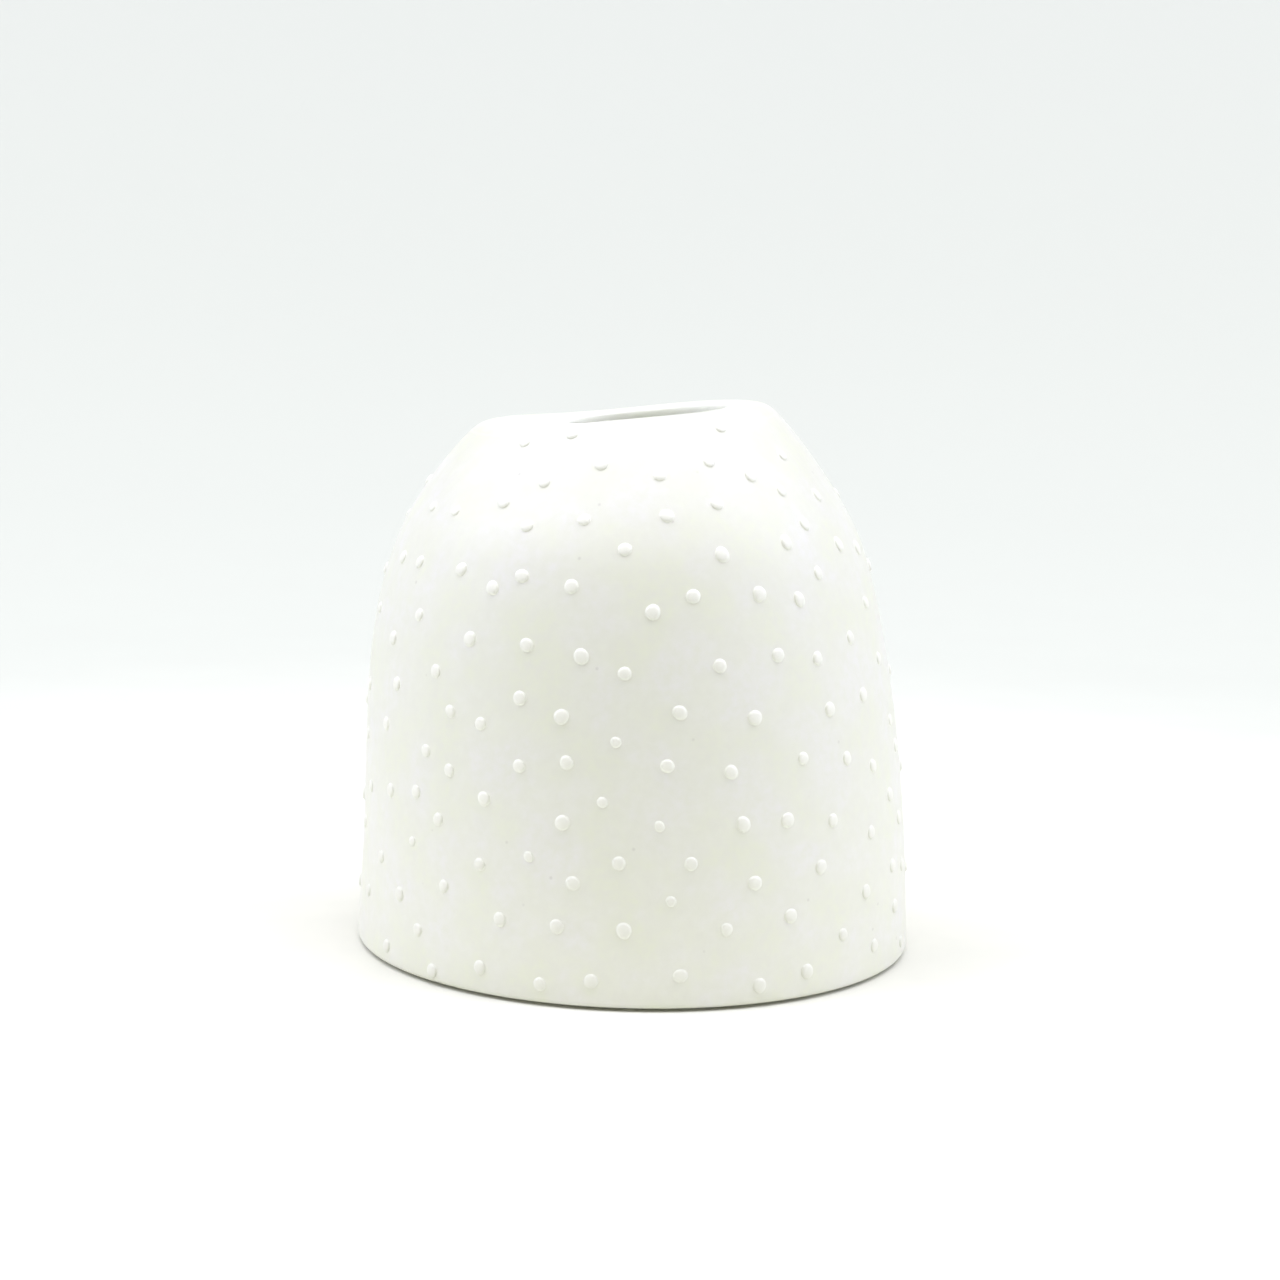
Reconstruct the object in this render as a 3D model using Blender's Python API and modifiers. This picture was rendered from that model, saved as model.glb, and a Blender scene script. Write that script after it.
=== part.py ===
"""A porcelain flower frog: a slip-cast dome with one slanted mouth, dotted all over with beads of white slip.

The origin is the centre of the foot, on the surface that the piece stands on. +Z is up and the front faces -Y.
An azimuth is in degrees from the front and grows towards +X. A height is that of the upright turned shape,
before settle() leans and slants it.
"""

import math
import random

import bmesh
import bpy
from mathutils import Matrix, Vector

MM = 0.001

# The dome
FOOT_RADIUS = 40.3 * MM
CROWN_HEIGHT = 83.4 * MM  # where the shoulder would close if it weren't cut
TOP_HEIGHT = 76.75 * MM  # the flat rim around the mouth
TAPER = 0.106  # the share of its radius that the wall loses up to the crown
SHOULDER_POWER = 4.64  # the higher, the straighter the wall and the tighter the shoulder
SHOULDER_DIP = 0.65 * MM  # how far the shoulder is flattened, between the rim and the dip's start
DIP_START = 58.0 * MM
WALL = 4.0 * MM
FLOOR = 4.5 * MM
FLOOR_CORNER = 6.0 * MM
RIM_ROUND = 1.2 * MM
FOOT_ROUND = 0.6 * MM

# The mouth, and the lean and slant of a piece finished by hand
MOUTH_RADIUS = 11.5 * MM
MOUTH_SHIFT = 3.3 * MM
LIP = 3.6 * MM
LIP_ROUND = 0.8 * MM
LIP_UNDER = 1.4 * MM
SLANT_RISE = 1.72 * MM  # the rim rises by this to the right, and drops by it to the left
SLANT_REACH = 17.5 * MM  # past this the rim is level again
SLANT_START = 52.0 * MM
LEAN_START = 10.0 * MM
SHOULDER_START = 55.0 * MM
WALL_LEAN = -1.7 * MM
TOP_LEAN = -1.3 * MM

# The beads of slip
BEAD_RADIUS = 0.96 * MM
BEAD_RISE = 0.55 * MM
BEAD_GAP = 0.06 * MM  # between the wall and a bead that is its own solid
BEAD_SPREAD = 0.1  # how far one bead's size differs from another's
SMALL_BEAD = 0.75
SEPARATE_BEADS = 59

SEGMENTS = 60
BEAD_SEGMENTS = 6

# Height in mm: azimuths of the beads on the front half, as the potter piped them
FRONT_BEADS = {
    76: (-19,), 75: (-37, 36), 72: (-7,), 71: (26, 57), 70: (-24, 10), 69: (38,),
    67: (-35, 47), 66: (24, 63), 65: (-63, -51, -11, 10), 64: (-26,), 63: (50,),
    61: (-1, 41), 60: (22, 62), 59: (74,), 57: (-68, -58, -42, -25, 49), 56: (-13,),
    55: (-32, 14, 30), 54: (41,), 53: (5,), 52: (69,), 50: (-53,), 49: (-77,),
    48: (-36, -22, 57), 47: (-10, 33), 46: (-63, 19, 44), 45: (-1,), 44: (71,), 43: (-45,),
    41: (-23,), 40: (-59, 10, 59), 39: (-14, 26, 46), 38: (-78, -40), 37: (-32,),
    36: (-3,), 35: (74,), 34: (-63,), 33: (-13, 7, 37), 32: (-47, -23, 20, 50),
    31: (-77, 77), 30: (-40, 60), 28: (-6,), 27: (-31,), 26: (-50,),
    25: (-60, -14, 5, 22, 32, 68), 24: (-72, 44), 23: (-43,), 21: (57, 74),
    20: (-21, -3, 11), 19: (-51,), 18: (-78, -32, 40), 17: (-12, 24), 15: (-64, 7, 67),
    14: (-41, 75), 13: (54,), 12: (32,), 11: (-55, -27, -15, -2, 18), 9: (-71, 68), 8: (46,),
    7: (-48,), 5: (9, 57), 4: (-31, -8, 36), 3: (-59, -18, 25, 73), 2: (-43,),
}
# Heights in mm of the beads at each side, which zigzag between the front half and the back half
SIDE_BEADS = {-90: (8, 14, 21, 28, 35, 43, 54, 62, 68), 90: (5, 12, 19, 27, 34, 41, 48, 56, 65)}
SIDE_ZIGZAG = 4
# (height, azimuth) of the beads that are smaller than the rest
SMALL_BEADS = {(36, -3), (28, -6), (25, 5), (15, 7), (20, -21), (19, -51)}


def collection(name):
    made = bpy.data.collections.new(name)
    bpy.context.scene.collection.children.link(made)
    return made


def principled(name, color, roughness):
    material = bpy.data.materials.new(name)
    material.use_nodes = True
    shader = material.node_tree.nodes["Principled BSDF"]
    shader.inputs["Base Color"].default_value = (*color, 1)
    shader.inputs["Roughness"].default_value = roughness
    shader.inputs["Metallic"].default_value = 0
    material.diffuse_color = (*color, 1)
    return material


def smooth_step(start, end, value):
    share = min(max((value - start) / (end - start), 0), 1)
    return share * share * (3 - 2 * share)


def settle(point):
    """Moves a point of the upright turned shape to its place on the leaning, slanted piece."""
    lean = WALL_LEAN * smooth_step(LEAN_START, SHOULDER_START, point.z)
    lean += TOP_LEAN * smooth_step(SHOULDER_START, TOP_HEIGHT, point.z)
    reach = math.hypot(point.x, point.y)
    near_mouth = smooth_step(dome_radius(TOP_HEIGHT), MOUTH_RADIUS, reach)
    near_mouth *= smooth_step(TOP_HEIGHT - 3 * LIP, TOP_HEIGHT - LIP, point.z)
    x = point.x + lean + MOUTH_SHIFT * near_mouth
    slant = SLANT_RISE * math.sin(min(max(x / SLANT_REACH, -1), 1) * math.pi / 2)
    return Vector((x, point.y, point.z + slant * smooth_step(SLANT_START, TOP_HEIGHT, point.z)))


def dome_radius(height, inset=0):
    """Radius of the dome's outside, or of the surface that lies inset inside it."""
    share = height / (CROWN_HEIGHT - inset)
    radius = (FOOT_RADIUS - inset) * (1 - TAPER * share) * math.sqrt(1 - share**SHOULDER_POWER)
    rise = min(max((height - DIP_START) / (TOP_HEIGHT - DIP_START), 0), 1)
    return radius - SHOULDER_DIP * 27 / 4 * rise**2 * (1 - rise)


def arc(centre, radius, start, end, steps):
    """Points of an arc in the (radius, height) plane. Its angles are in degrees."""
    angles = [math.radians(start + (end - start) * i / steps) for i in range(steps + 1)]
    return [(centre[0] + radius * math.cos(a), centre[1] + radius * math.sin(a)) for a in angles]


def wall_heights(low, high, steps):
    """Heights that lie closer together as the wall turns over into the shoulder."""
    turn = math.radians(75)
    return [low + (high - low) * math.sin(turn * i / steps) / math.sin(turn) for i in range(steps + 1)]


def body_profile():
    """(radius, height) from the middle of the inner floor, up the inside, over the lip and down the outside."""
    corner_height = FLOOR + FLOOR_CORNER
    inner_foot = dome_radius(corner_height, WALL)
    ceiling = TOP_HEIGHT - LIP
    rim = dome_radius(TOP_HEIGHT)
    outer_top = TOP_HEIGHT - RIM_ROUND / 2
    profile = [(0, FLOOR)]
    profile += arc((inner_foot - FLOOR_CORNER, corner_height), FLOOR_CORNER, -90, 0, 3)
    profile += [(dome_radius(z, WALL), z) for z in wall_heights(corner_height, ceiling, 6)[1:]]
    profile += arc((MOUTH_RADIUS + LIP_UNDER, ceiling + LIP_UNDER), LIP_UNDER, 270, 180, 2)
    profile += arc((MOUTH_RADIUS + LIP_ROUND, TOP_HEIGHT - LIP_ROUND), LIP_ROUND, 180, 90, 2)
    profile += [(rim - RIM_ROUND, TOP_HEIGHT), (rim - RIM_ROUND / 4, TOP_HEIGHT - RIM_ROUND / 6)]
    profile += [(dome_radius(z), z) for z in reversed(wall_heights(FOOT_ROUND, outer_top, 11))]
    profile += [(FOOT_RADIUS - FOOT_ROUND, 0), (0, 0)]
    return profile


def turned(name, profile):
    """The mesh of a profile that a Screw turns round the Z axis."""
    guide = bpy.data.meshes.new(name + "_profile")
    edges = [(i, i + 1) for i in range(len(profile) - 1)]
    guide.from_pydata([(radius, 0, height) for radius, height in profile], edges, [])
    upright = bpy.data.objects.new(name + "_upright", guide)
    bpy.context.scene.collection.objects.link(upright)
    screw = upright.modifiers.new("Screw", "SCREW")
    screw.axis = "Z"
    screw.steps = SEGMENTS
    screw.render_steps = SEGMENTS
    screw.use_merge_vertices = True
    screw.merge_threshold = 0.00001
    bpy.context.view_layer.update()
    graph = bpy.context.evaluated_depsgraph_get()
    mesh = bpy.data.meshes.new_from_object(upright.evaluated_get(graph))
    bpy.data.objects.remove(upright)
    return mesh


def bead_places():
    """(height, azimuth, size) of every bead, from the mouth down to the foot."""
    front = [(height, azimuth) for height, row in FRONT_BEADS.items() for azimuth in row]
    back = [(height, azimuth + 180) for height, azimuth in front]
    sides = [
        (height, azimuth + SIDE_ZIGZAG * (-1) ** number)
        for azimuth, column in SIDE_BEADS.items()
        for number, height in enumerate(column)
    ]
    chance = random.Random(7)
    places = []
    for height, azimuth in sorted(front + back + sides, reverse=True):
        size = 1 + chance.uniform(-BEAD_SPREAD, BEAD_SPREAD)
        if (height, azimuth) in SMALL_BEADS:
            size = SMALL_BEAD
        places.append((height, azimuth, size))
    return places


def on_wall(height, azimuth):
    """The point of the outside at a height in metres and an azimuth in radians."""
    radius = dome_radius(height)
    return settle(Vector((radius * math.sin(azimuth), -radius * math.cos(azimuth), height)))


def bead_matrix(height, azimuth):
    """Puts a bead's base on the wall, with its own Z pointing straight out of it."""
    z = height * MM
    turn = math.radians(azimuth)
    step = 0.2 * MM
    up = on_wall(z + step, turn) - on_wall(z - step, turn)
    across = on_wall(z, turn + 0.005) - on_wall(z, turn - 0.005)
    outward = across.cross(up).normalized()
    return Matrix.Translation(on_wall(z, turn)) @ outward.to_track_quat("Z", "Y").to_matrix().to_4x4()


def add_bead(bm, matrix):
    """One whole bead, a flattened ball whose lower half lies in the wall."""
    squash = Matrix.Diagonal((BEAD_RADIUS, BEAD_RADIUS, BEAD_RISE, 1))
    bmesh.ops.create_uvsphere(
        bm, u_segments=BEAD_SEGMENTS, v_segments=4, radius=1, matrix=matrix @ squash
    )


def half_bead_mesh():
    """The part of a bead that stands above the wall, with a flat base."""
    bm = bmesh.new()
    add_bead(bm, Matrix.Identity(4))
    bmesh.ops.bisect_plane(
        bm,
        geom=bm.verts[:] + bm.edges[:] + bm.faces[:],
        plane_co=(0, 0, BEAD_GAP),
        plane_no=(0, 0, -1),
        clear_outer=True,
    )
    bmesh.ops.holes_fill(bm, edges=bm.edges[:])
    mesh = bpy.data.meshes.new("slip_bead")
    bm.to_mesh(mesh)
    bm.free()
    return mesh


def make_body(parts, cutters, joined_beads, porcelain):
    """The casting, with the beads past the separate ones joined to it."""
    mesh = turned("porcelain_body", body_profile())
    for vertex in mesh.vertices:
        vertex.co = settle(vertex.co)
    body = bpy.data.objects.new("porcelain_body", mesh)
    body.data.materials.append(porcelain)
    parts.objects.link(body)

    bm = bmesh.new()
    for height, azimuth, size in joined_beads:
        add_bead(bm, bead_matrix(height, azimuth) @ Matrix.Scale(size, 4))
    bead_mesh = bpy.data.meshes.new("joined_beads")
    bm.to_mesh(bead_mesh)
    bm.free()
    beads = bpy.data.objects.new("joined_beads", bead_mesh)
    beads.hide_render = True
    beads.display_type = "WIRE"
    cutters.objects.link(beads)

    join = body.modifiers.new("Joined beads", "BOOLEAN")
    join.operation = "UNION"
    join.object = beads
    body.data.shade_smooth()
    body.data.set_sharp_from_angle(angle=math.radians(35))
    return body


def make_separate_beads(parts, beads, slip):
    mesh = half_bead_mesh()
    mesh.materials.append(slip)
    mesh.shade_smooth()
    mesh.set_sharp_from_angle(angle=math.radians(50))
    for number, (height, azimuth, size) in enumerate(beads, start=1):
        bead = bpy.data.objects.new(f"slip_bead_{number:02d}", mesh)
        bead.matrix_world = bead_matrix(height, azimuth) @ Matrix.Scale(size, 4)
        parts.objects.link(bead)


def main():
    for old in list(bpy.data.objects):
        bpy.data.objects.remove(old)
    parts = collection("flower_frog")
    cutters = collection("cutters")
    porcelain = principled("porcelain", (0.74, 0.75, 0.70), 0.45)
    slip = principled("white_slip", (0.90, 0.91, 0.87), 0.35)
    beads = bead_places()
    make_body(parts, cutters, beads[SEPARATE_BEADS:], porcelain)
    make_separate_beads(parts, beads[:SEPARATE_BEADS], slip)


main()
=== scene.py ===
"""The looks of a porcelain flower frog: a slip-cast dome with a slanted mouth, beaded with white slip.

Lengths are in metres, in the frame of the CAD part: +Z up, the front facing -Y, the foot on Z = 0.
An azimuth is in radians from the front and grows towards +X.
"""

import math
import random

import bpy
import numpy as np
from mathutils import Matrix


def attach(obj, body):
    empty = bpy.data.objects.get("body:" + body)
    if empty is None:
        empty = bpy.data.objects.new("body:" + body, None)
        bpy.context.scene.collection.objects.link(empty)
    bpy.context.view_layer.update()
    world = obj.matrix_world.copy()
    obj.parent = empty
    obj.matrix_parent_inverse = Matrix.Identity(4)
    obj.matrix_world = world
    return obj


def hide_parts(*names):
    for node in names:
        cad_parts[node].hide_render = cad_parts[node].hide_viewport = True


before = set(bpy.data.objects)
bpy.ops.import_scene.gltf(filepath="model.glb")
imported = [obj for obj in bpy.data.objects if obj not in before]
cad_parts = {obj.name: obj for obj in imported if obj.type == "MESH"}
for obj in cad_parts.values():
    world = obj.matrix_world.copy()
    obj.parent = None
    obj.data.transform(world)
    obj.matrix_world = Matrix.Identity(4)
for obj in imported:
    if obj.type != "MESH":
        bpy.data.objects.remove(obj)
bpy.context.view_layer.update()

MM = 0.001

# The dome as the CAD part has it
FOOT_RADIUS = 40.3 * MM
CROWN_HEIGHT = 83.4 * MM
TOP_HEIGHT = 76.75 * MM
TAPER = 0.106
SHOULDER_POWER = 4.64
SHOULDER_DIP = 0.65 * MM
DIP_START = 58.0 * MM
WALL = 4.0 * MM
FLOOR = 4.5 * MM
FLOOR_CORNER = 6.0 * MM
RIM_ROUND = 1.2 * MM
MOUTH_RADIUS = 11.5 * MM
MOUTH_SHIFT = 3.3 * MM
LIP = 3.6 * MM
LIP_UNDER = 1.4 * MM
SLANT_RISE = 1.72 * MM
SLANT_REACH = 17.5 * MM
SLANT_START = 52.0 * MM
LEAN_START = 10.0 * MM
SHOULDER_START = 55.0 * MM
WALL_LEAN = -1.7 * MM
TOP_LEAN = -1.3 * MM
CAD_BEAD_RISE = 0.55 * MM  # of a bead of size 1

# The casting's look
SEGMENTS = 320
LIP_ROUND = 0.6 * MM
FOOT_ROUND = 0.7 * MM
FOOT_GAP = 0.4 * MM  # between the table and the foot's outer edge
FOOT_INSET = 2.2 * MM  # from the foot's outer edge to the disc that it stands on
FOOT_STEP = 0.3 * MM  # the width of the slope between them
WAVER = 0.09 * MM
RIM_WAVER = 0.16 * MM

# The beads' look
BEAD_RADIUS = 0.92 * MM
BEAD_HEIGHT = 0.34 * MM
BEAD_AROUND = 32

# How beads are told apart in a CAD mesh
LOWEST_BEAD_TOP = 0.3 * MM
BEADS_APART = 2 * MM
MEAN_WALL_RADIUS = 35 * MM

# Steps over which a slope is measured
HEIGHT_STEP = 0.1 * MM
AZIMUTH_STEP = 0.002  # in radians

# The painted light that whitens the mouth's shaded inner wall fades out between these distances from the
# middle of the mouth
MOUTH_PAINTED_LIGHT_FADE = (MOUTH_RADIUS + 0.5 * MM, MOUTH_RADIUS + 1.0 * MM)
MOUTH_GLOW_REACH = (3.4 * MM, 3.6 * MM, 3.2 * MM)

# The paper: level inside one radius, then rising up to a steepest slope
PAPER_LEVEL = 0.35
PAPER_STEEP = 0.9
PAPER_EDGE = 1.8
PAPER_SLOPE = 0.42
# Painted light on the paper: its colour is brightest around the piece and falls off with distance
PAPER_PAINTED_FALLOFF = (0.04, 0.30, 0.55)  # where its colour starts to dull, dulls more slowly, and stays

# The light tent, as linear red, green and blue
LOW_ARCH_LIGHT = (0.15, 0.185, 1.35)
HIGH_ARCH_LIGHT = (4.12, 4.14, 3.39)
ROOM_LIGHT = (0.105, 0.075, 0.02)
ARCH_FADE = (0.2, 0.5)  # how far to the front or back a direction points where the arch fades out

# The camera. Its lens is in millimetres and its angles are in degrees.
LENS = 74.5
CAMERA_PLACE = (-2.8 * MM, -380.7 * MM, 101.1 * MM)
CAMERA_YAW = -0.43
CAMERA_DOWN = 8.53
CAMERA_ROLL = 1.47


def smooth_step(start, end, value):
    share = np.clip((value - start) / (end - start), 0, 1)
    return share * share * (3 - 2 * share)


def dome_radius(height, inset=0.0):
    share = np.clip(height / (CROWN_HEIGHT - inset), 0, 0.999)
    radius = (FOOT_RADIUS - inset) * (1 - TAPER * share) * np.sqrt(1 - share**SHOULDER_POWER)
    rise = np.clip((height - DIP_START) / (TOP_HEIGHT - DIP_START), 0, 1)
    return radius - SHOULDER_DIP * 27 / 4 * rise**2 * (1 - rise)


def wall_slope(height):
    """How far the wall draws in for each metre of height."""
    return (dome_radius(height - HEIGHT_STEP) - dome_radius(height)) / HEIGHT_STEP


def lean(height):
    wall = WALL_LEAN * smooth_step(LEAN_START, SHOULDER_START, height)
    return wall + TOP_LEAN * smooth_step(SHOULDER_START, TOP_HEIGHT, height)


def slant(x, height):
    """How far the slant of the rim lifts a point. It levels out to the left and right of the mouth."""
    turn = np.clip(x / SLANT_REACH, -1, 1) * math.pi / 2
    return SLANT_RISE * np.sin(turn) * smooth_step(SLANT_START, TOP_HEIGHT, height)


def waver(height, azimuth):
    """How far the wall strays from the true dome. Slow waves run around it and shift as they climb."""
    chance = random.Random(3)
    total = 0
    for turns in (2, 3, 4, 5, 7, 9):
        pitch = chance.uniform(20, 70)
        phase = chance.uniform(0, 6.28)
        drift = chance.uniform(0, 6.28)
        total = total + np.cos(turns * azimuth + phase + 1.5 * np.sin(pitch * height + drift)) / turns
    return WAVER * total * smooth_step(0, 12 * MM, height)


def rim_waver(azimuth):
    """How far the rim stands above its slanted plane, in slow waves around the mouth."""
    return RIM_WAVER * (1.5 + 0.6 * np.cos(azimuth + 1.39) + np.cos(3 * azimuth + 0.93))


def settle(x, y, z):
    """Moves points of the upright turned shape to their places on the leaning, slanted, uneven piece."""
    reach = np.hypot(x, y)
    azimuth = np.arctan2(x, -y)
    near_mouth = smooth_step(dome_radius(TOP_HEIGHT), MOUTH_RADIUS, reach)
    near_mouth = near_mouth * smooth_step(TOP_HEIGHT - 3 * LIP, TOP_HEIGHT - LIP, z)
    stray = waver(z, azimuth) * smooth_step(MOUTH_RADIUS, 2 * MOUTH_RADIUS, reach)
    x = x + np.sin(azimuth) * stray + lean(z) + MOUTH_SHIFT * near_mouth
    y = y - np.cos(azimuth) * stray
    rim = rim_waver(azimuth) * smooth_step(TOP_HEIGHT - 3 * LIP, TOP_HEIGHT, z)
    return x, y, z + slant(x, z) + rim


def on_wall(height, azimuth):
    radius = dome_radius(height)
    return np.stack(settle(radius * np.sin(azimuth), -radius * np.cos(azimuth), height), axis=-1)


def wall_normal(height, azimuth):
    up = on_wall(height + HEIGHT_STEP, azimuth) - on_wall(height - HEIGHT_STEP, azimuth)
    across = on_wall(height, azimuth + AZIMUTH_STEP) - on_wall(height, azimuth - AZIMUTH_STEP)
    outward = np.cross(across, up)
    return outward / np.linalg.norm(outward, axis=-1, keepdims=True)


def arc(centre, radius, start, end, steps):
    """Points of an arc in the (radius, height) plane. Its angles are in degrees."""
    angles = np.radians(np.linspace(start, end, steps + 1))
    return list(zip(centre[0] + radius * np.cos(angles), centre[1] + radius * np.sin(angles)))


def wall_heights(low, high, steps):
    """Heights that lie closer together as the wall turns over into the shoulder."""
    turns = np.linspace(0, math.radians(75), steps + 1)
    return low + (high - low) * np.sin(turns) / math.sin(turns[-1])


def body_profile():
    """(radius, height) from the middle of the inner floor, up the inside, over the lip and down outside."""
    corner_height = FLOOR + FLOOR_CORNER
    inner_foot = float(dome_radius(corner_height, WALL))
    ceiling = TOP_HEIGHT - LIP
    rim = float(dome_radius(TOP_HEIGHT))
    outer_top = TOP_HEIGHT - RIM_ROUND
    profile = [(r, FLOOR) for r in np.linspace(0, inner_foot - FLOOR_CORNER, 12, endpoint=False)]
    profile += arc((inner_foot - FLOOR_CORNER, corner_height), FLOOR_CORNER, -90, 0, 10)
    profile += [(float(dome_radius(z, WALL)), z) for z in wall_heights(corner_height, ceiling, 40)[1:]]
    under_edge, inner_edge = MOUTH_RADIUS + LIP_UNDER, MOUTH_RADIUS + LIP_ROUND
    profile += [(r, ceiling) for r in np.linspace(profile[-1][0], under_edge, 6, endpoint=False)[1:]]
    profile += arc((under_edge, ceiling + LIP_UNDER), LIP_UNDER, 270, 180, 10)
    profile += arc((inner_edge, TOP_HEIGHT - LIP_ROUND), LIP_ROUND, 180, 90, 10)
    profile += [(r, TOP_HEIGHT) for r in np.linspace(inner_edge, rim - RIM_ROUND, 6, endpoint=False)[1:]]
    profile += rim_corner((rim - RIM_ROUND, TOP_HEIGHT), (float(dome_radius(outer_top)), outer_top))
    foot_top = FOOT_GAP + FOOT_ROUND
    profile += [(float(dome_radius(z)), z) for z in reversed(wall_heights(foot_top, outer_top, 90))]
    foot = float(dome_radius(foot_top))
    profile += arc((foot - FOOT_ROUND, foot_top), FOOT_ROUND, 0, -90, 6)[1:]
    inset = foot - FOOT_INSET
    profile += [(inset, FOOT_GAP)]
    profile += [(inset - FOOT_STEP / 3, 0.8 * FOOT_GAP), (inset - FOOT_STEP / 2, 0.2 * FOOT_GAP)]
    profile += [(r, 0) for r in np.linspace(inset - FOOT_STEP, 0, 10)]
    return profile


def rim_corner(start, end):
    """The rim's outer corner: a curve that leaves the flat rim level and meets the wall along its slope."""
    knee = (end[0] - wall_slope(end[1]) * (start[1] - end[1]), start[1])
    points = []
    for t in np.linspace(0, 1, 13):
        near, middle, far = (1 - t) ** 2, 2 * t * (1 - t), t * t
        points.append(tuple(near * a + middle * b + far * c for a, b, c in zip(start, knee, end)))
    return points


def turned(name, profile):
    """The mesh of a profile that a Screw turns round the Z axis."""
    guide = bpy.data.meshes.new(name + "_profile")
    edges = [(i, i + 1) for i in range(len(profile) - 1)]
    guide.from_pydata([(float(r), 0, float(z)) for r, z in profile], edges, [])
    upright = bpy.data.objects.new(name + "_upright", guide)
    bpy.context.scene.collection.objects.link(upright)
    screw = upright.modifiers.new("Screw", "SCREW")
    screw.axis = "Z"
    screw.steps = SEGMENTS
    screw.render_steps = SEGMENTS
    screw.use_merge_vertices = True
    screw.merge_threshold = 0.000001
    bpy.context.view_layer.update()
    graph = bpy.context.evaluated_depsgraph_get()
    mesh = bpy.data.meshes.new_from_object(upright.evaluated_get(graph))
    bpy.data.objects.remove(upright)
    mesh.name = name
    return mesh


def get_points(mesh):
    points = np.empty(len(mesh.vertices) * 3, np.float32)
    mesh.vertices.foreach_get("co", points)
    return points.reshape(-1, 3).astype(float)


def place(mesh, name, material):
    """Puts a finished mesh in the scene as a piece that rides on the part's one body."""
    piece = bpy.data.objects.new(name, mesh)
    bpy.context.scene.collection.objects.link(piece)
    mesh.materials.append(material)
    mesh.shade_smooth()
    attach(piece, "root")
    return piece


def make_casting(material):
    mesh = turned("porcelain_casting", body_profile())
    points = get_points(mesh)
    settled = np.stack(settle(*points.T), axis=-1)
    mesh.vertices.foreach_set("co", settled.astype(np.float32).ravel())
    mesh.update()
    piece = place(mesh, "porcelain_casting", material)
    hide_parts("porcelain_body")


# The beads of slip


def standing(points):
    """For points of the CAD part: (how far each stands off the wall, its height, its azimuth)."""
    x, y, z = points.T
    height = z.copy()
    for _ in range(6):
        height = z - slant(x, height)
    across = x - lean(height)
    tilt = np.arctan(wall_slope(height))
    off = (np.hypot(across, y) - dome_radius(height)) * np.cos(tilt)
    return off, height - off * np.sin(tilt), np.arctan2(across, -y)


def bead_tops(node):
    """(height, azimuth, size) of the bead or beads that a CAD node holds, from their highest points."""
    off, height, azimuth = standing(get_points(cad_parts[node].data))
    found = []
    for i in np.argsort(-off):
        if found and off[i] < LOWEST_BEAD_TOP:
            break
        apart = [
            math.hypot(height[i] - h, 2 * MEAN_WALL_RADIUS * math.sin((azimuth[i] - a) / 2))
            for h, a, _ in found
        ]
        if min(apart, default=1) > BEADS_APART:
            found.append((float(height[i]), float(azimuth[i]), float(off[i] / CAD_BEAD_RISE)))
    return found


def bead_shape():
    """(distance from the middle, rise) of a bead's rings, in shares of its radius and of its height.

    The last ring lies inside the casting, so that no gap shows where a bead sits on the rim's round corner.
    """
    turns = np.linspace(0, math.pi / 2, 10)[1:]
    rings = [(math.sin(t) ** 0.85, math.cos(t) ** 0.85) for t in turns[:-1]]
    rings += [(1.0, 0.10), (1.035, 0.045), (1.09, 0.012), (1.16, -0.03), (1.1, -1.3)]
    return np.array([(0, 1)] + rings)


def bead_mesh_data(height, azimuth, size, chance):
    """Points and faces of one bead, wrapped on the wall: round, but never quite."""
    rings = bead_shape()
    around = np.linspace(0, 2 * math.pi, BEAD_AROUND, endpoint=False)
    oval, oval_turn = chance.uniform(0, 0.06), chance.uniform(0, 6.28)
    lobe, lobe_turn = chance.uniform(0, 0.03), chance.uniform(0, 6.28)
    outline = 1 + oval * np.cos(2 * around - oval_turn) + lobe * np.cos(3 * around - lobe_turn)
    drop_side, drop_down = chance.uniform(-0.06, 0.06), chance.uniform(0, 0.12)
    reach = size * BEAD_RADIUS * rings[1:, 0, None] * outline[None]
    rise = size * BEAD_HEIGHT * rings[1:, 1, None] * np.ones_like(outline)[None]
    across = reach * np.cos(around) + drop_side * rise
    up = reach * np.sin(around) - drop_down * rise
    across = np.concatenate([[drop_side * size * BEAD_HEIGHT], across.ravel()])
    up = np.concatenate([[-drop_down * size * BEAD_HEIGHT], up.ravel()])
    rise = np.concatenate([[size * BEAD_HEIGHT], rise.ravel()])
    heights = height + up / math.hypot(1, wall_slope(height))
    azimuths = azimuth + across / dome_radius(height)
    points = on_wall(heights, azimuths) + wall_normal(heights, azimuths) * rise[:, None]
    faces = [(0, 1 + k, 1 + (k + 1) % BEAD_AROUND) for k in range(BEAD_AROUND)]
    for ring in range(len(rings) - 2):
        inner, outer = 1 + ring * BEAD_AROUND, 1 + (ring + 1) * BEAD_AROUND
        for k in range(BEAD_AROUND):
            after = (k + 1) % BEAD_AROUND
            faces.append((inner + k, outer + k, outer + after, inner + after))
    return points, faces


def make_beads(name, beads, chance, material):
    """One piece that holds the given beads."""
    points, faces = [], []
    for height, azimuth, size in beads:
        more_points, more_faces = bead_mesh_data(height, azimuth, size, chance)
        faces += [tuple(i + len(points) for i in face) for face in more_faces]
        points += more_points.tolist()
    mesh = bpy.data.meshes.new(name)
    mesh.from_pydata(points, [], faces)
    return place(mesh, name, material)


def make_all_beads(material):
    chance = random.Random(11)
    separate = sorted(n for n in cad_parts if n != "porcelain_body")
    for node in separate:
        piece = make_beads(node + "_look", bead_tops(node)[:1], chance, material)
        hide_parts(node)
    make_beads("joined_beads", bead_tops("porcelain_body"), chance, material)


# Materials


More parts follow.
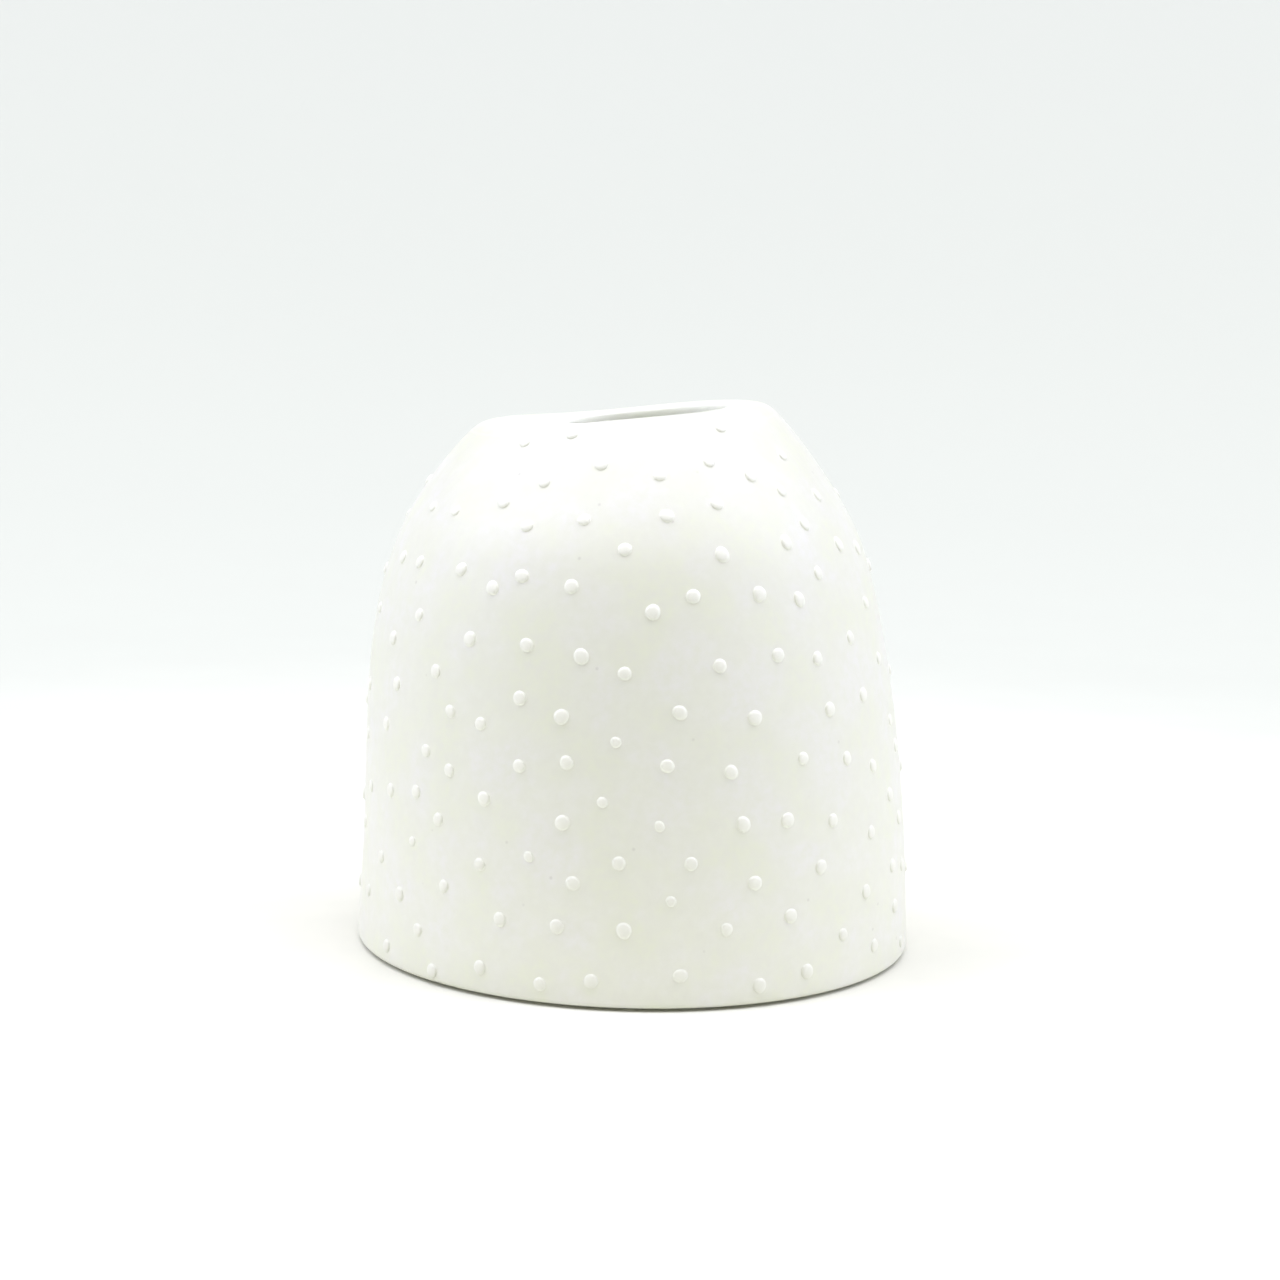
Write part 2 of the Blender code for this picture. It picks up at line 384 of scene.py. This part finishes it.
class Nodes:
    """A material's node tree, with short calls for making and linking nodes."""

    def __init__(self, name):
        self.material = bpy.data.materials.new(name)
        self.material.use_nodes = True
        self.tree = self.material.node_tree
        self.shader = self.tree.nodes["Principled BSDF"]
        self.place = self.new("ShaderNodeTexCoord").outputs["Object"]

    def new(self, kind, **values):
        node = self.tree.nodes.new(kind)
        for key, value in values.items():
            if key in node.inputs:
                node.inputs[key].default_value = value
            else:
                setattr(node, key, value)
        return node

    def link(self, source, target):
        self.tree.links.new(source, target)

    def noise(self, scale, detail=2.0, roughness=0.5):
        node = self.new("ShaderNodeTexNoise", Scale=scale, Detail=detail, Roughness=roughness)
        self.link(self.place, node.inputs["Vector"])
        return node.outputs["Fac"]

    def distance(self, point):
        """How far a place is from a point."""
        node = self.new("ShaderNodeVectorMath", operation="DISTANCE")
        node.inputs[1].default_value = point
        self.link(self.place, node.inputs[0])
        return node.outputs["Value"]

    def span(self, value, low, high, to_low=0.0, to_high=1.0, smooth=False):
        """Maps a range of a value to another range, and holds it there."""
        node = self.new("ShaderNodeMapRange", interpolation_type="SMOOTHSTEP" if smooth else "LINEAR")
        for name, number in (("From Min", low), ("From Max", high), ("To Min", to_low), ("To Max", to_high)):
            node.inputs[name].default_value = number
        self.link(value, node.inputs["Value"])
        return node.outputs["Result"]

    def mix(self, share, first, second):
        """The colour that lies a share of the way from the first to the second."""
        node = self.new("ShaderNodeMix", data_type="RGBA")
        self.link(share, node.inputs["Factor"])
        sockets = [socket for socket in node.inputs if socket.type == "RGBA"]
        for socket, color in zip(sockets, (first, second)):
            if isinstance(color, bpy.types.NodeSocket):
                self.link(color, socket)
            else:
                socket.default_value = (*color, 1)
        return next(output for output in node.outputs if output.type == "RGBA")

    def glow_through(self, weight, reach):
        """Lets light scatter below the surface, as far as the reach in metres for red, green and blue."""
        self.shader.subsurface_method = "BURLEY"
        self.link(weight, self.shader.inputs["Subsurface Weight"])
        self.shader.inputs["Subsurface Radius"].default_value = reach
        self.shader.inputs["Subsurface Scale"].default_value = 1.0

    def bump(self, layers):
        """Chains bumps, each (height value, strength, distance in metres)."""
        normal = None
        for height, strength, distance in layers:
            node = self.new("ShaderNodeBump", Strength=strength, Distance=distance)
            self.link(height, node.inputs["Height"])
            if normal is not None:
                self.link(normal, node.inputs["Normal"])
            normal = node.outputs["Normal"]
        self.link(normal, self.shader.inputs["Normal"])


def porcelain_material():
    """Satin white porcelain: faint patches, a few pale brown specks, and a fine skin.

    Around the mouth its colour is painted whiter, as painted light on the shaded inner wall, and light
    scatters below the surface there.
    """
    nodes = Nodes("satin_porcelain")
    shader = nodes.shader
    patch = nodes.span(nodes.noise(130, 3, 0.55), 0.38, 0.62)
    color = nodes.mix(patch, (0.785, 0.802, 0.658), (0.803, 0.801, 0.738))
    fine = nodes.span(nodes.noise(700, 4, 0.6), 0.35, 0.7)
    color = nodes.mix(fine, color, (0.774, 0.780, 0.676))
    specks = nodes.new("ShaderNodeTexVoronoi", Scale=150.0)
    nodes.link(nodes.place, specks.inputs["Vector"])
    speck = nodes.span(specks.outputs["Distance"], 0.02, 0.05, 0.3, 0.0)
    color = nodes.mix(speck, color, (0.45, 0.43, 0.38))
    # Painted light: near the mouth the colour is mixed towards a lighter white, which brightens the shaded
    # inner wall of the mouth
    mouth = nodes.distance((lean(TOP_HEIGHT) + MOUTH_SHIFT, 0, TOP_HEIGHT))
    inside = nodes.span(mouth, *MOUTH_PAINTED_LIGHT_FADE, 1.0, 0.0)
    nodes.link(nodes.mix(inside, color, (0.93, 0.945, 0.82)), shader.inputs["Base Color"])
    nodes.link(nodes.span(nodes.noise(400, 3), 0.3, 0.7, 0.38, 0.5), shader.inputs["Roughness"])
    shader.inputs["IOR"].default_value = 1.45
    nodes.glow_through(inside, MOUTH_GLOW_REACH)
    nodes.bump([(nodes.noise(260, 3), 0.2, 0.1 * MM), (nodes.noise(1800, 3, 0.6), 0.2, 0.04 * MM)])
    return nodes.material


def slip_material():
    """The whiter slip of the beads, with painted light and shade: lighter higher up the dome and duller
    towards the foot.
    """
    nodes = Nodes("white_slip")
    shader = nodes.shader
    split = nodes.new("ShaderNodeSeparateXYZ")
    nodes.link(nodes.place, split.inputs[0])
    # Painted light and shade: the beads' colour is lighter higher up and duller towards the foot, standing
    # in for how the light falls on them
    climb = nodes.span(split.outputs["Z"], 8 * MM, 32 * MM)
    color = nodes.mix(climb, (0.795, 0.800, 0.700), (0.865, 0.869, 0.768))
    shade = nodes.span(nodes.noise(500, 3), 0.3, 0.7, 0.0, 0.5)
    nodes.link(nodes.mix(shade, color, (0.840, 0.842, 0.745)), shader.inputs["Base Color"])
    nodes.link(nodes.span(nodes.noise(900, 2), 0.3, 0.7, 0.36, 0.48), shader.inputs["Roughness"])
    shader.inputs["IOR"].default_value = 1.5
    nodes.bump([(nodes.noise(1500, 3, 0.6), 0.25, 0.04 * MM)])
    return nodes.material


def floor_material():
    """Pale paper with painted light: its colour is brightest around the piece and duller further out."""
    nodes = Nodes("white_paper")
    reach = nodes.distance((0, 0, 0))
    # Painted light: the paper's colour dulls with distance from the piece, standing in for the light's
    # falloff
    start, middle, end = PAPER_PAINTED_FALLOFF
    out = nodes.span(reach, start, middle, smooth=True)
    color = nodes.mix(out, (0.81, 0.81, 0.722), (0.598, 0.621, 0.545))
    color = nodes.mix(nodes.span(reach, middle, end), color, (0.574, 0.597, 0.524))
    shade = nodes.span(nodes.noise(30, 3), 0.3, 0.7, 0.0, 0.3)
    nodes.link(nodes.mix(shade, color, (0.580, 0.597, 0.525)), nodes.shader.inputs["Base Color"])
    nodes.shader.inputs["Roughness"].default_value = 0.8
    nodes.shader.inputs["Specular IOR Level"].default_value = 0.2
    nodes.bump([(nodes.noise(1200, 3), 0.1, 0.05 * MM)])
    return nodes.material


# The stage


def make_floor():
    """A round sheet of paper, level around the piece and rising further out, so that no horizon shows."""
    radii = np.concatenate([np.linspace(0, PAPER_LEVEL, 8), np.linspace(PAPER_LEVEL, PAPER_EDGE, 60)[1:]])
    slopes = PAPER_SLOPE * smooth_step(PAPER_LEVEL, PAPER_STEEP, radii)
    heights = np.concatenate([[0], np.cumsum((slopes[1:] + slopes[:-1]) / 2 * np.diff(radii))])
    mesh = turned("paper", list(zip(radii, heights))[::-1])
    floor = bpy.data.objects.new("paper", mesh)
    bpy.context.scene.collection.objects.link(floor)
    mesh.materials.append(floor_material())
    mesh.shade_smooth()


def make_world():
    """A light tent: a broad bright arch from side to side over the top, dim at the front and at the back.

    The arch is nearly white overhead and blue low down at both sides.
    """
    world = bpy.data.worlds.new("light_tent")
    bpy.context.scene.world = world
    world.use_nodes = True
    tree = world.node_tree
    tree.nodes.clear()

    def new(kind, *values, **settings):
        """Makes a node from its settings and its inputs, in order, and gives its first output."""
        node = tree.nodes.new(kind)
        for key, value in settings.items():
            setattr(node, key, value)
        for socket, value in zip(node.inputs, values):
            if isinstance(value, bpy.types.NodeSocket):
                tree.links.new(value, socket)
            else:
                socket.default_value = value
        return node.outputs[0]

    direction = tree.nodes.new("ShaderNodeTexCoord").outputs["Generated"]
    split = tree.nodes.new("ShaderNodeSeparateXYZ")
    tree.links.new(direction, split.inputs[0])
    depth = new("ShaderNodeMath", split.outputs["Y"], operation="ABSOLUTE")
    across = new("ShaderNodeMapRange", depth, *ARCH_FADE, 1.0, 0.0, interpolation_type="SMOOTHSTEP")
    height = new("ShaderNodeMath", split.outputs["Z"], 0.0, operation="MAXIMUM")
    over = new("ShaderNodeMath", across, height, operation="MULTIPLY")
    low_arch = new("ShaderNodeBackground", (*LOW_ARCH_LIGHT, 1), across)
    high_arch = new("ShaderNodeBackground", (*HIGH_ARCH_LIGHT, 1), over)
    room = new("ShaderNodeBackground", (*ROOM_LIGHT, 1), 1.0)
    arch = new("ShaderNodeAddShader", low_arch, high_arch)
    output = tree.nodes.new("ShaderNodeOutputWorld")
    tree.links.new(new("ShaderNodeAddShader", arch, room), output.inputs["Surface"])


def make_camera():
    data = bpy.data.cameras.new("camera")
    data.sensor_width = 36
    data.lens = LENS
    data.clip_start = 0.01
    data.clip_end = 20
    camera = bpy.data.objects.new("camera", data)
    bpy.context.scene.collection.objects.link(camera)
    yaw = Matrix.Rotation(math.radians(CAMERA_YAW), 4, "Z")
    down = Matrix.Rotation(math.radians(90 - CAMERA_DOWN), 4, "X")
    roll = Matrix.Rotation(math.radians(CAMERA_ROLL), 4, "Z")
    camera.matrix_world = Matrix.Translation(CAMERA_PLACE) @ yaw @ down @ roll
    bpy.context.scene.camera = camera


def main():
    make_casting(porcelain_material())
    make_all_beads(slip_material())
    make_floor()
    make_world()
    make_camera()
    bpy.context.scene.view_settings.view_transform = "Standard"


main()
